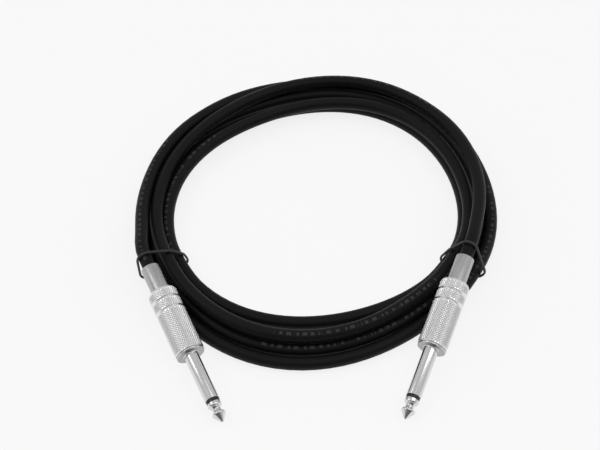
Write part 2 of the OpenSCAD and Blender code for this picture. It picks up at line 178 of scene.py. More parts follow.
def coil_radius(u):
    angle = math.radians(angle_at(u))
    front = math.sin(angle) ** 4 if math.sin(angle) < 0 else 0.0
    back = math.sin(angle) ** 2 if math.sin(angle) > 0 else 0.0
    oval = sum(size * math.cos(count * (angle - math.radians(way))) for size, count, way in WAVES)
    fan = (FAN[0] * front + FAN[1] * back) * (1 - math.exp(-FAN_OPENING * lanes(u)))
    outward = (OUTWARD[0] * front + OUTWARD[1] * back) * over(u, OUTWARD_SPAN)
    inward = INWARD_START * (1 - over(u, INWARD_SPAN))
    return BASE_R + oval + LANE * lanes(u) + fan + outward + laid(u) - inward


# %% Height of the coil
GROUND_Z = CABLE_D / 2
TIE_LIFT = 1.5
TIE_REACH = 14        # degrees to each side over which the cable climbs a tie
LAYER_RISE = 6.1
END_Z = 15.6          # where the cable enters the right plug
CLIMB_SPAN = (REVERSAL - 0.25, 0.5)
DESCENT_SPAN = (0.15, 0.21)
END_SPAN = (TURNS - 0.31, 0.2)


def coil_height(u):
    over_ties = sum(bump(angle_at(u), TIE_ANGLE[side], TIE_REACH) for side in SIDES)
    layers = over(u, CLIMB_SPAN) + 1 - over(u, DESCENT_SPAN)
    z = GROUND_Z + TIE_LIFT * over_ties + LAYER_RISE * layers
    return z + (END_Z - LAYER_RISE - GROUND_Z) * over(u, END_SPAN)


# %% Run-out behind each plug
STRAIGHT = 9.0
BLEND = 50.0          # where the run-out has become the coil
BEND_R = 72.0
LEVEL = 12.0          # over this length the cable levels out


def run_out(side, d):
    """Point d mm behind a plug: straight on, then on an arc towards the coil, levelling out."""
    back = (PLUGS[side].to_3x3() @ Vector((0, 0, 1))).normalized()
    level = Vector((back.x, back.y, 0))
    flat = level.length
    level.normalize()
    across = Vector((level.y, -level.x, 0)) * (1 if side == "left" else -1)
    straight = min(d, STRAIGHT)
    bent = max(d - STRAIGHT, 0)
    turned = bent / BEND_R
    point = PLUGS[side] @ Vector((0, 0, PLUG_LENGTH)) / MM
    point += (straight * flat + BEND_R * math.sin(turned)) * level
    point += BEND_R * (1 - math.cos(turned)) * across
    point.z += back.z * (straight + LEVEL * (1 - math.exp(-bent / LEVEL)))
    return point


def route(u):
    """Centre of the cable at turn u, in mm."""
    angle = math.radians(angle_at(u))
    radius = coil_radius(u)
    point = Vector((COIL_CENTRE.x + radius * math.cos(angle),
                    COIL_CENTRE.y + radius * math.sin(angle), coil_height(u)))
    for side, d in (("left", u * TURN_LENGTH), ("right", (TURNS - u) * TURN_LENGTH)):
        if d < BLEND:
            weight = 1 - smooth((d - STRAIGHT) / (BLEND - STRAIGHT))
            point = point.lerp(run_out(side, d), weight)
    return point


# %% Even bends behind the plugs
STEPS_PER_TURN = 96
EASE_PASSES = 24
EASE_IN = (3, 22)     # mm from a plug at which the averaging comes in, and over which length
EASE_OUT = (100, 50)


def eased(points):
    """The line with its first and last 150 mm averaged with their neighbours, ends kept."""
    even = list(points)
    for _ in range(EASE_PASSES):
        even[1:-1] = [(a + 2 * b + c) / 4 for a, b, c in zip(even, even[1:], even[2:])]
    made = []
    for i, (point, mean) in enumerate(zip(points, even)):
        d = min(i, len(points) - 1 - i) * TURN_LENGTH / STEPS_PER_TURN
        made.append(point.lerp(mean, over(d, EASE_IN) * (1 - over(d, EASE_OUT))))
    return made


# %% Points of the whole cable
JACKET_AT = 51.9
INSIDE_STEPS = 6


def inside_plug(side):
    """Points on the plug's axis from the jacket's cut end to the end of the rear tube."""
    step = (PLUG_LENGTH - JACKET_AT) / INSIDE_STEPS
    return [PLUGS[side] @ Vector((0, 0, JACKET_AT + step * i)) / MM for i in range(INSIDE_STEPS)]


steps = round(TURNS * STEPS_PER_TURN)
cable_line = inside_plug("left")
cable_line += eased([route(TURNS * i / steps) for i in range(steps + 1)])
cable_line += inside_plug("right")[::-1]
cable_length = sum((b - a).length for a, b in zip(cable_line, cable_line[1:]))
print("cable", round(cable_length), "mm long,", len(cable_line), "points")

# %% [markdown]
# ## Sweeping the jacket
# A tube along a line is a circle that is extruded from point to point. A curve with a round bevel
# would look the same, but its UV map doesn't measure length. So bmesh extrudes the ring's edges,
# and each new ring is turned square to the line. The angle round the cable and the distance along
# it go into a UV map, in turns and metres, so that print and fine rings follow the cable and not
# the room.

# %% Sweep a ring along a line
ROUND_STEPS = 24


def frames_along(line):
    """Matrices square to a line, with x level."""
    made = []
    for i, point in enumerate(line):
        ahead, behind = line[min(i + 1, len(line) - 1)], line[max(i - 1, 0)]
        heading = (ahead - behind).normalized()
        level = heading.cross(Vector((0, 0, 1))).normalized()
        up = level.cross(heading)
        turn = Matrix((level, up, heading)).transposed().to_4x4()
        made.append(Matrix.Translation(point) @ turn)
    return made


def sweep(line, radius):
    """A capped tube along a line, in mm, with its UV map."""
    bm = bmesh.new()
    uv = bm.loops.layers.uv.new("along")
    frames = frames_along(line)
    bmesh.ops.create_circle(bm, segments=ROUND_STEPS, radius=radius, matrix=frames[0])
    ring = {v: i for i, v in enumerate(bm.verts)}
    local = [frames[0].inverted() @ v.co for v in ring]
    edges = first_edges = list(bm.edges)
    travelled = 0.0
    for before, here in zip(frames, frames[1:]):
        ahead = travelled + (here.translation - before.translation).length
        grown = bmesh.ops.extrude_edge_only(bm, edges=edges)["geom"]
        faces = [g for g in grown if isinstance(g, bmesh.types.BMFace)]
        edges = [g for g in grown if isinstance(g, bmesh.types.BMEdge)]
        fresh = {}
        for v in (g for g in grown if isinstance(g, bmesh.types.BMVert)):
            old = next(e.other_vert(v) for e in v.link_edges if e.other_vert(v) in ring)
            fresh[v] = ring[old]
            v.co = here @ local[fresh[v]]
        for face in faces:
            places = [ring.get(v, fresh.get(v)) for v in face.verts]
            at_seam = max(places) - min(places) > 1
            for loop, place in zip(face.loops, places):
                turn = ROUND_STEPS if at_seam and place == 0 else place
                along = ahead if loop.vert in fresh else travelled
                loop[uv].uv = (turn / ROUND_STEPS, along * MM)
        edges = [e for e in edges if all(v in fresh for v in e.verts)]
        ring = fresh
        travelled = ahead
    bmesh.ops.holes_fill(bm, edges=first_edges + edges, sides=0)
    bmesh.ops.recalc_face_normals(bm, faces=bm.faces)
    return bm


# %% Turn a bmesh into an object
def finish_mesh(bm, name, matrix=None, sharp=35.0):
    """Links a bmesh as a smooth-shaded object, with edges over an angle kept sharp."""
    if matrix is not None:
        bmesh.ops.transform(bm, matrix=matrix, verts=bm.verts)
    mesh = bpy.data.meshes.new(name)
    bm.to_mesh(mesh)
    bm.free()
    mesh.shade_smooth()
    mesh.set_sharp_from_angle(angle=math.radians(sharp))
    made = bpy.data.objects.new(name, mesh)
    bpy.context.scene.collection.objects.link(made)
    print(name, len(mesh.polygons), "faces")
    return made


# %% The cable
cable = finish_mesh(sweep(cable_line, CABLE_D / 2), "cable_jacket", Matrix.Scale(MM, 4))
cable_path = [point * MM for point in cable_line]

# %% [markdown]
# ## Shader maths
# A material could be wired node by node, but it is easier to read as sums. So one small class
# wraps a socket and lets Python's operators add Math nodes, and every other node, in a material or
# in the world, comes from one method.

# %% Sockets as numbers
class Value:
    """A socket that can be added, multiplied and compared."""

    def __init__(self, tree, socket):
        self.tree = tree
        self.socket = socket

    def _math(self, operation, *inputs):
        return self.tree.node("ShaderNodeMath", {"operation": operation}, dict(enumerate(inputs)))

    def __add__(self, other):
        return self._math("ADD", self, other)

    def __radd__(self, other):
        return self._math("ADD", other, self)

    def __sub__(self, other):
        return self._math("SUBTRACT", self, other)

    def __rsub__(self, other):
        return self._math("SUBTRACT", other, self)

    def __mul__(self, other):
        return self._math("MULTIPLY", self, other)

    def __rmul__(self, other):
        return self._math("MULTIPLY", other, self)

    def __gt__(self, other):
        return self._math("GREATER_THAN", self, other)

    def __lt__(self, other):
        return self._math("LESS_THAN", self, other)

    def __mod__(self, other):
        return self._math("FLOORED_MODULO", self, other)


# %% Any node
class Nodes:
    """The node tree of a material or a world."""

    def __init__(self, owner):
        owner.use_nodes = True
        self.nodes = owner.node_tree.nodes
        self.links = owner.node_tree.links

    def node(self, kind, settings=None, inputs=None, output=0):
        made = self.nodes.new(kind)
        for key, value in (settings or {}).items():
            setattr(made, key, value)
        for key, value in (inputs or {}).items():
            if isinstance(value, Value):
                self.links.new(value.socket, made.inputs[key])
            else:
                made.inputs[key].default_value = value
        return Value(self, made.outputs[output])

    def part(self, vector, letter):
        """X, Y or Z of a vector."""
        return self.node("ShaderNodeSeparateXYZ", inputs={0: vector}, output=letter)


# %% A finish
def grey(level):
    return (level, level, level)


MIX_A, MIX_B, MIX_RESULT = 6, 7, 2    # the Mix node's sockets for colours


class Finish(Nodes):
    """A material with its Principled shader."""

    def __init__(self, name, **uniform):
        self.material = bpy.data.materials.new(name)
        super().__init__(self.material)
        self.shader = self.nodes["Principled BSDF"]
        for key, value in uniform.items():
            self.shader.inputs[key.replace("_", " ")].default_value = value

    def feed(self, **inputs):
        """Links values to the shader's sockets."""
        for key, value in inputs.items():
            self.links.new(value.socket, self.shader.inputs[key.replace("_", " ")])

    def place(self):
        """Object coordinates in metres."""
        return self.node("ShaderNodeTexCoord", output="Object")

    def stored(self, name, output="Vector"):
        return self.node("ShaderNodeAttribute", {"attribute_name": name}, output=output)

    def speckle(self, where, scale, detail=3.0, roughness=0.55):
        settings = {"Vector": where, "Scale": scale, "Detail": detail, "Roughness": roughness}
        return self.node("ShaderNodeTexNoise", inputs=settings)

    def between(self, factor, low, high):
        """A colour between two, by a factor."""
        colours = {MIX_A: (*low, 1), MIX_B: (*high, 1)}
        return self.node("ShaderNodeMix", {"data_type": "RGBA"}, {0: factor, **colours}, MIX_RESULT)

    def vector(self, operation, *inputs, output="Vector"):
        return self.node("ShaderNodeVectorMath", {"operation": operation},
                         dict(enumerate(inputs)), output)

    def relief(self, height, distance):
        """Bump from a height of 0 to 1 over a distance in metres."""
        bumped = self.node("ShaderNodeBump", inputs={"Height": height, "Distance": distance})
        self.feed(Normal=bumped)

    def done(self):
        """The finished material."""
        print(self.material.name, "with", len(self.nodes), "nodes")
        return self.material


# %% [markdown]
# ## Jacket
# Soft black PVC is nearly black but never dead: it has a broad, dull sheen, fine rings from the
# extruder and a thin film of handling marks. All of it could be one dark colour, but then it would
# look like paint, so noise varies the colour, the roughness and the relief. A real lead has some
# print along it. Here plain pale bars stand for it, drawn from the UV map so that they follow
# the cable.

# %% Jacket material
PRINT_REPEAT = 0.29          # m along the cable
PRINT_START = 0.03
PRINT_LENGTH = 0.08
PRINT_TURN = 0.035           # of a turn round the cable
PRINT_HALF_WIDTH = 0.038
BAR_PITCH = 0.0034
BAR_WIDTH = 0.0021
JACKET_DARK = (0.0024, 0.0029, 0.0027)
JACKET_LIGHT = (0.0050, 0.0059, 0.0055)
PRINT_PALE = (0.045, 0.045, 0.047)


def noise_along(finish, along, scale, detail, roughness=0.5):
    return finish.node("ShaderNodeTexNoise", {"noise_dimensions": "1D"},
                       {"W": along, "Scale": scale, "Detail": detail, "Roughness": roughness})


def make_jacket():
    pvc = Finish("black_pvc_jacket", IOR=1.5, Specular_IOR_Level=0.15)
    uv = pvc.node("ShaderNodeUVMap", {"uv_map": "along"})
    around, along = pvc.part(uv, "X"), pvc.part(uv, "Y")
    cloud = pvc.speckle(pvc.place(), 70.0, detail=4.0)
    fine = pvc.speckle(pvc.place(), 1900.0, detail=2.0)
    rings = noise_along(pvc, along, 700.0, 2.0)
    blocks = noise_along(pvc, along, 420.0, 1.0)
    off_centre = pvc.node("ShaderNodeMath", {"operation": "ABSOLUTE"}, {0: around - PRINT_TURN})
    printed = (along - PRINT_START) % PRINT_REPEAT < PRINT_LENGTH
    bars = printed * (off_centre < PRINT_HALF_WIDTH) * (along % BAR_PITCH < BAR_WIDTH)
    pale = pvc.between(bars * (blocks > 0.47) * (0.35 + fine * 0.9), grey(0.0), PRINT_PALE)
    jacket = pvc.between(cloud, JACKET_DARK, JACKET_LIGHT)
    pvc.feed(Base_Color=pvc.vector("ADD", jacket, pale),
             Roughness=0.38 + cloud * 0.16 + fine * 0.08)
    pvc.relief(rings * 0.8 + fine * 0.4, 0.00006)
    return pvc.done()


JACKET = make_jacket()
cable.data.materials.append(JACKET)

# %% [markdown]
# ## Turned pieces
# Tips, sleeves and barrels come off a lathe. They could be cylinders with bevelled edges, but a
# lathe is also the shortest recipe, so each is a profile spun round the plug's axis. The profile
# is a chain of points, radius and place, with arcs where a tool has broken an edge. The piece's
# own millimetres are stored on it as an attribute, for the tool marks.

# %% Spin a profile
def arc(radius_at, place_at, radius, start, end, count=5):
    """Points of an arc in a profile; 0 degrees points outwards and 90 towards the cable."""
    made = []
    for i in range(count + 1):
        a = math.radians(start + (end - start) * i / count)
        made.append((radius_at + radius * math.cos(a), place_at + radius * math.sin(a)))
    return made


def spun(profile, around=64, closed=True):
    """A profile of (radius, place) spun round z, in plug millimetres."""
    bm = bmesh.new()
    chain = [bm.verts.new((r, 0, z)) for r, z in profile]
    pairs = list(zip(chain, chain[1:]))
    if closed:
        pairs.append((chain[-1], chain[0]))
    edges = [bm.edges.new(pair) for pair in pairs]
    bmesh.ops.spin(bm, geom=chain + edges, cent=(0, 0, 0), axis=(0, 0, 1), dvec=(0, 0, 0),
                   angle=math.tau, space=Matrix.Identity(4), steps=around, use_merge=True)
    bmesh.ops.remove_doubles(bm, verts=bm.verts, dist=0.0005)
    bmesh.ops.dissolve_degenerate(bm, dist=0.0005, edges=bm.edges)
    bmesh.ops.recalc_face_normals(bm, faces=bm.faces)
    return bm


def store_place(bm):
    """Keeps each point's plug millimetres for the material."""
    layer = bm.verts.layers.float_vector.new("plug_mm")
    for v in bm.verts:
        v[layer] = v.co


def dress(bm, side, part, body, material, replaces, sharp=35.0):
    """Finishes a plug piece: stored place, object, material, body, the node it replaces."""
    store_place(bm)
    made = finish_mesh(bm, f"{side}_{part}", PLUGS[side], sharp)
    made.data.materials.append(material)
    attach(made, body)
    for node in replaces:
        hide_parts(f"{side}_{node}")
    return made


# %% [markdown]
# ## Nickel
# The contacts and the rear tube are bright nickel over brass: a clear reflection, drawn out a
# little round the axis by the turning. Hard use leaves fine scuffs along the sleeve. One function
# makes three finishes, so that they stay the same metal: bright, tube and thread.

# %% Nickel materials
FACE_FROM, FACE_TO = 3.45, 6.1    # mm from the axis: the flange's face, duller than the sleeve and painted darker, as painted shade for a dim reflection
FACE_LEVEL = 0.58


def steps_between(finish, value, low, high, kind="LINEAR"):
    return finish.node("ShaderNodeMapRange", {"interpolation_type": kind},
                       {"Value": value, "From Min": low, "From Max": high})


def make_nickel(name, dull, clean, roughness, scuffs, ripple):
    nickel = Finish(name, Metallic=1.0)
    here = nickel.stored("plug_mm")
    turning = noise_along(nickel, nickel.part(here, "Z"), 9.0, 4.0, 0.7)
    lengthwise = nickel.vector("MULTIPLY", here, (1.0, 1.0, 0.06))
    streak = nickel.speckle(lengthwise, 1.6, detail=5.0, roughness=0.6)
    worn = steps_between(nickel, streak, 0.52, 0.75, "SMOOTHSTEP")
    out = nickel.vector("LENGTH", nickel.vector("MULTIPLY", here, (1, 1, 0)), output="Value")
    face = (out > FACE_FROM) * (out < FACE_TO)
    plated = nickel.between(steps_between(nickel, streak, 0.3, 0.7), grey(dull), grey(clean))
    # Painted shade: everything at the face's radii is painted darker by FACE_LEVEL, standing in for
    # a dim reflection; its extra roughness is real.
    painted_face_shade = nickel.between(face, grey(1.0), grey(FACE_LEVEL))
    nickel.feed(Base_Color=nickel.vector("MULTIPLY", plated, painted_face_shade),
                Roughness=roughness + turning * 0.06 + worn * scuffs + face * 0.2)
    nickel.relief(turning * 0.15 + streak, ripple)
    return nickel.done()


BRIGHT = make_nickel("bright_nickel", 0.62, 0.80, 0.10, 0.12, 0.000008)
TUBE = make_nickel("tube_nickel", 0.66, 0.96, 0.11, 0.14, 0.00004)
SATIN = make_nickel("satin_nickel", 0.60, 0.72, 0.26, 0.10, 0.000004)

# %% [markdown]
# ## Tip and rod
# The tip is a cone with a waist, where the socket's spring snaps in. The same piece goes on as a
# thin rod through the plug and ends in a rivet behind the solder lug. It could be built of
# stacked cones, but one profile keeps the metal's line smooth from end to end.

# %% Tip contacts
RING_AT = 9.1
ROD_R = 1.2
LUG_AT = 43.1


def tip_profile():
    cone = [(0, 0)] + arc(0, 0.65, 0.65, -80, -44, 4)
    crest = arc(2.35, 3.8, 0.63, -44, 40, 6)
    neck = arc(2.6, 5.95, 0.85, 232, 128, 6)
    shoulder = arc(2.0, 8.05, 1.0, -72, 0, 6)
    rod = [(3.0, RING_AT), (ROD_R, RING_AT), (ROD_R, LUG_AT + 0.6), (1.7, LUG_AT + 0.6)]
    rivet = arc(1.3, LUG_AT + 0.8, 0.4, 0, 90, 4)
    return cone + crest + neck + shoulder + rod + rivet + [(0, LUG_AT + 1.2)]


for side in SIDES:
    dress(spun(tip_profile(), closed=False), side, "tip_contact", "lead", BRIGHT,
          ["tip"])

# %% [markdown]
# ## Insulating ring
# A black moulded ring parts the tip from the sleeve, so that signal and ground never touch. It
# could be a painted band on the sleeve, but it stands a hair below the metal, and the edges of
# its own profile catch the light as the real ones do.

# %% Black ring
def make_ring_plastic():
    moulded = Finish("black_ring_plastic", IOR=1.5)
    here = moulded.stored("plug_mm")
    cloud = moulded.speckle(here, 1.4)
    grain = moulded.speckle(here, 14.0, detail=2.0)
    colour = moulded.between(cloud, grey(0.006), grey(0.016))
    moulded.feed(Base_Color=colour, Roughness=0.28 + cloud * 0.15)
    moulded.relief(grain, 0.00001)
    return moulded.done()


RING_PLASTIC = make_ring_plastic()


def ring_profile():
    outer, inner, edge = 2.95, 1.25, 0.12
    rim = arc(outer - edge, RING_AT + edge, edge, -90, 0, 3)
    rim += arc(outer - edge, SLEEVE_AT - edge, edge, 0, 90, 3)
    return rim + [(inner, SLEEVE_AT), (inner, RING_AT)]


for side in SIDES:
    dress(spun(ring_profile()), side, "insulating_ring", "lead", RING_PLASTIC,
          ["tip_ring"])

# %% [markdown]
# ## Plug body
# Sleeve, flange and threaded boss are one turned piece, so one profile makes all three. Where
# the sleeve meets the flange a small fillet keeps it from snapping. The thread can't be part of
# that spin, because it climbs, so it is its own: a small ridge that rises by one pitch in each
# turn.

# %% Plug body
BOSS_AT = 33.9
BOSS_END = 40.9
SLEEVE_R = 6.35 / 2
FLANGE_R = 6.25
BOSS_R = 4.9
BODY_BORE = 2.15


def body_profile():
    edge, hollow, undercut = 0.12, 0.5, 0.2
    sleeve = [(BODY_BORE, SLEEVE_AT)] + arc(SLEEVE_R - edge, SLEEVE_AT + edge, edge, -90, 0, 3)
    fillet = arc(SLEEVE_R + hollow, REACH - hollow, hollow, 180, 90, 5)
    rim = arc(FLANGE_R - 0.3, REACH + 0.3, 0.3, -90, 0, 4)
    rim += arc(FLANGE_R - 0.22, BOSS_AT - 0.22, 0.22, 0, 90, 3)
    boss = [(BOSS_R - undercut, BOSS_AT), (BOSS_R - undercut, BOSS_AT + 0.6),
            (BOSS_R, BOSS_AT + 0.9), (BOSS_R, BOSS_END - 0.3), (BOSS_R - 0.3, BOSS_END)]
    spigot = [(2.7, BOSS_END), (2.7, BOSS_END + 0.6), (2.95, BOSS_END + 0.6),
              (2.75, BOSS_END + 1.2), (BODY_BORE, BOSS_END + 1.2)]
    return sleeve + fillet + rim + boss + spigot


for side in SIDES:
    dress(spun(body_profile()), side, "sleeve_and_flange", "lead", BRIGHT,
          ["plug_body"])

# %% Thread on the boss
PITCH = 0.75
THREAD_FROM = BOSS_AT + 1.3
THREAD_DEPTH = 0.3
THREAD_TURNS = 7.2
ROOT_HALF, CREST_HALF = 0.44 * PITCH, 0.06 * PITCH
THREAD_SINK = 0.06    # the ridge starts this far inside the boss
THREAD_STEPS = 48     # steps per turn


def boss_thread():
    """A ridge spun and climbed round the boss."""
    bm = bmesh.new()
    root, crest = BOSS_R - THREAD_SINK, BOSS_R + THREAD_DEPTH
    corners = ((root, -ROOT_HALF), (crest, -CREST_HALF), (crest, CREST_HALF), (root, ROOT_HALF))
    face = bm.faces.new([bm.verts.new((r, 0, THREAD_FROM + z)) for r, z in corners])
    steps = round(THREAD_TURNS * THREAD_STEPS)
    bmesh.ops.spin(bm, geom=[face], cent=(0, 0, 0), axis=(0, 0, 1), space=Matrix.Identity(4),
                   dvec=(0, 0, THREAD_TURNS * PITCH / steps), angle=math.tau * THREAD_TURNS,
                   steps=steps, use_merge=False)
    bmesh.ops.recalc_face_normals(bm, faces=bm.faces)
    return bm


for side in SIDES:
    dress(boss_thread(), side, "boss_thread", "lead", SATIN, [], sharp=20.0)

# %% [markdown]
# ## Knurled barrel
# The barrel's grip is a diamond knurl: two wheels press crossing grooves into it and leave small
# pyramids. A bump map could fake them, but they would vanish at the outline and in an export.
# Here the spun skin has a point every half diamond. Every other point is raised, and the
# low ones are joined by the grooves, so four facets rise to each raised point. The grooves wear
# less, and an attribute keeps them apart for their colour: painted shade in the hollows.

# %% Barrel profile
BARREL_END = 65.9
BARREL_BORE = 5.35
WALL_AT = 57.9
BARREL_R = 6.45
BARREL_TAPER = 0.05
KNURL_STEP = 0.62
GROOVES = (BARREL_END - 10.6, BARREL_END - 5.4)
BANDS = ((BOSS_AT + 0.42, GROOVES[0] - 0.5), (GROOVES[0] + 0.5, GROOVES[1] - 0.5),
         (GROOVES[1] + 0.5, BARREL_END - 1.0))


def barrel_radius(z):
    return BARREL_R - BARREL_TAPER * (z - BOSS_AT) / (BARREL_END - BOSS_AT)


def steps_in(low, high):
    """Half diamonds in a knurled band."""
    return max(2, round((high - low) / KNURL_STEP))


def band(low, high):
    """Evenly spaced points of a knurled band, from low to high."""
    count = steps_in(low, high)
    places = [low + (high - low) * i / count for i in range(count + 1)]
    return [(barrel_radius(z), z) for z in places]


def groove_floor(z):
    r = barrel_radius(z) - 0.5
    return [(r + 0.1, z - 0.16), (r, z - 0.05), (r, z + 0.05), (r + 0.1, z + 0.16)]


def barrel_profile():
    front = [(BARREL_BORE, BOSS_AT), (5.75, BOSS_AT), (5.8, BOSS_AT + 0.26), (6.3, BOSS_AT + 0.28)]
    grip = band(*BANDS[0]) + groove_floor(GROOVES[0]) + band(*BANDS[1])
    grip += groove_floor(GROOVES[1]) + band(*BANDS[2])
    rear = [(6.28, BARREL_END - 0.6), (6.05, BARREL_END - 0.25), (5.7, BARREL_END - 0.05),
            (5.4, BARREL_END), (4.12, BARREL_END)]
    return front + grip + rear + [(4.12, WALL_AT), (BARREL_BORE, WALL_AT)]


# %% Knurl
KNURL_AROUND = 34
KNURL_DEPTH = 0.20
KNURL_CREST = 0.05
KNURL_FROM_R = 6.0    # only the outer skin is knurled
BAND_MARGIN = 0.05    # a band's end points stay smooth
SMOOTH_GROOVE = 0.4   # the attribute's value away from the knurl: 0 is a crest, 1 a groove; it is also the share of painted groove shade there


def knurl(bm):
    """Raises every other point of the bands, lowers the rest and joins the low ones."""
    step = math.tau / (2 * KNURL_AROUND)
    groove = bm.verts.layers.float.new("groove")
    for v in bm.verts:
        v[groove] = SMOOTH_GROOVE
    for low, high in BANDS:
        for v in bm.verts:
            radius = math.hypot(v.co.x, v.co.y)
            if radius < KNURL_FROM_R or not low + BAND_MARGIN < v.co.z < high - BAND_MARGIN:
                continue
            i = round((math.atan2(v.co.y, v.co.x) % math.tau) / step)
            j = round((v.co.z - low) / (high - low) * steps_in(low, high))
            v[groove] = (i + j) % 2
            change = -KNURL_DEPTH if v[groove] else KNURL_CREST
            v.co.x *= 1 + change / radius
            v.co.y *= 1 + change / radius
    bmesh.ops.connect_verts(bm, verts=[v for v in bm.verts if v[groove] == 1])
    bmesh.ops.triangulate(bm, faces=bm.faces)


def make_knurled_nickel():
    plate = Finish("knurled_nickel", Metallic=1.0)
    low = plate.stored("groove", "Fac")
    here = plate.stored("plug_mm")
    handled = plate.speckle(here, 0.45, detail=4.0)
    grain = plate.speckle(here, 5.0, detail=2.0)
    # Painted shade: the groove attribute paints the grooves darker (0.68) than the crests, standing
    # in for shade in the hollows.
    colour = plate.between(low, grey(1.0), grey(0.68))
    dirt = plate.between(handled, grey(0.93), grey(1.0))
    plate.feed(Base_Color=plate.vector("MULTIPLY", colour, dirt),
               Roughness=0.22 + low * 0.12 + grain * 0.08)
    plate.relief(grain, 0.00002)
    return plate.done()


# %% Barrels
KNURLED = make_knurled_nickel()
for side in SIDES:
    shell = spun(barrel_profile(), around=2 * KNURL_AROUND)
    knurl(shell)
    dress(shell, side, "knurled_barrel", f"{side}_barrel_shell", KNURLED,
          ["barrel"], sharp=18.0)

# %% [markdown]
# ## Rear tube
# A smooth tube pressed into the barrel guides the cable out. It could be part of the barrel's
# profile, but it is a piece of its own with a brighter finish, so it gets its own spin. Its lips
# are rounded, so that they can't cut the jacket, and the barrel's inner wall holds its collar.

# %% Rear tube
TUBE_INNER, TUBE_OUTER = 3.5, 4.1
COLLAR_R = 5.3
COLLAR_AT = 57.1


def tube_profile():
    lip = 0.2
    collar = [(TUBE_INNER, COLLAR_AT), (COLLAR_R, COLLAR_AT), (COLLAR_R, WALL_AT),
              (TUBE_OUTER, WALL_AT)]
    end = arc(TUBE_OUTER - lip, PLUG_LENGTH - lip, lip, 0, 90, 4)
    return collar + end + arc(TUBE_INNER + lip, PLUG_LENGTH - lip, lip, 90, 180, 4)


for side in SIDES:
    dress(spun(tube_profile()), side, "rear_tube_turned", f"{side}_barrel_shell", TUBE,
          ["rear_tube"])

# %% [markdown]
# ## Ties
# A thin black band holds the bundle behind each plug. It passes under the cable, hugs the turns
# and stands off in a small loop on both sides. It could be drawn by hand, but then it would cut
# through a turn as soon as the coil changes. So its path is the outline round the turns that it
# crosses: in each direction, the circle that reaches out farthest.

# %% Path of a tie
TIE_D = 1.2
TIE_GAP = 0.15
# inner and outer loop: distance from the coil's axis, height, radius
TIE_LOOPS = {"left": ((67.3, 2.8, 2.4), (84.2, 5.4, 3.7)),
             "right": ((67.6, 4.0, 3.6), (82.0, 6.0, 3.2))}
TIE_DIRECTIONS = 72
TIE_POINTS = 96
TIE_ROUNDINGS = 3
TIE_TRIES = 5


def turns_in_tie(side):
    """Distance from the coil's axis and height of each turn where the tie crosses it."""
    angle = TIE_ANGLE[side]
    u = ((FIRST_ANGLE - angle) % 360) / 360
    found = []
    while u < TURNS:
        here = u
        for _ in range(TIE_TRIES):
            out = route(here).xy - COIL_CENTRE
            here += wrap(math.degrees(math.atan2(out.y, out.x)) - angle) / 360
        point = route(here)
        found.append(Vector(((point.xy - COIL_CENTRE).length, point.z)))
        u += 1
    return found


def tie_line(side):
    rounds = [(t, (CABLE_D + TIE_D) / 2 + TIE_GAP) for t in turns_in_tie(side)]
    rounds += [(Vector((out, height)), loop) for out, height, loop in TIE_LOOPS[side]]
    angle = math.radians(TIE_ANGLE[side])
    outward = Vector((math.cos(angle), math.sin(angle)))
    line = []
    for i in range(TIE_DIRECTIONS):
        a = math.tau * i / TIE_DIRECTIONS
        way = Vector((math.cos(a), math.sin(a)))
        centre, radius = max(rounds, key=lambda c: c[0].dot(way) + c[1])
        far, height = centre + radius * way
        line.append((COIL_CENTRE + far * outward).to_3d())
        line[-1].z = max(TIE_D / 2, height)
    return line


def even_line(line, count):
    """A closed line with evenly spaced points, rounded off a little."""
    closed = line + line[:1]
    lengths = [0.0]
    for a, b in zip(closed, closed[1:]):
        lengths.append(lengths[-1] + (b - a).length)
    made = []
    k = 0
    for i in range(count):
        target = lengths[-1] * i / count
        while lengths[k + 1] < target:
            k += 1
        share = (target - lengths[k]) / max(lengths[k + 1] - lengths[k], 1e-6)
        made.append(closed[k].lerp(closed[k + 1], share))
    for _ in range(TIE_ROUNDINGS):
        made = [(made[i - 1] + 2 * made[i] + made[(i + 1) % count]) / 4 for i in range(count)]
    return made


# %% Tie rubber
def make_tie_material():
    rubber = Finish("black_tie_rubber", IOR=1.5)
    cloud = rubber.speckle(rubber.place(), 180.0)
    grain = rubber.speckle(rubber.place(), 2600.0, detail=2.0)
    colour = rubber.between(cloud, grey(0.008), (0.02, 0.02, 0.021))
    rubber.feed(Base_Color=colour, Roughness=0.42 + cloud * 0.2)
    rubber.relief(grain, 0.00003)
    return rubber.done()


TIE_RUBBER = make_tie_material()

# %% Tie bands
TIE_FLATTEN = Matrix.Diagonal((1.25, 0.9, 1, 1))
TIE_SIDES = 12


def ring_of_tie(side):
    line = even_line(tie_line(side), TIE_POINTS)
    angle = math.radians(TIE_ANGLE[side])
    along = Vector((-math.sin(angle), math.cos(angle), 0))
    bm = bmesh.new()
    rings = []
    for i, point in enumerate(line):
        heading = (line[(i + 1) % len(line)] - line[i - 1]).normalized()
        out = heading.cross(along).normalized()
        turn = Matrix((along, out, heading)).transposed().to_4x4()
        made = bmesh.ops.create_circle(bm, segments=TIE_SIDES, radius=TIE_D / 2,
                                       matrix=Matrix.Translation(point) @ turn @ TIE_FLATTEN)
        rings.append(list({e for v in made["verts"] for e in v.link_edges}))
    for a, b in zip(rings, rings[1:] + rings[:1]):
        bmesh.ops.bridge_loops(bm, edges=a + b)
    bmesh.ops.recalc_face_normals(bm, faces=bm.faces)
    return bm


for side in SIDES:
    band_piece = finish_mesh(ring_of_tie(side), f"{side}_tie_band", Matrix.Scale(MM, 4), sharp=60)
    band_piece.data.materials.append(TIE_RUBBER)
    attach(band_piece, "lead")
    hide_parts(f"{side}_tie")

# %% [markdown]
# ## Inside the plug
# Unscrewed, the barrel shows what is soldered: the lug on the rod, the ground tag with its clamp
# round the jacket, the white core and the twisted shield. They could be built again as meshes,
# but the model's forms are right, so they keep them and get their own finishes. Only the solder
# is added.

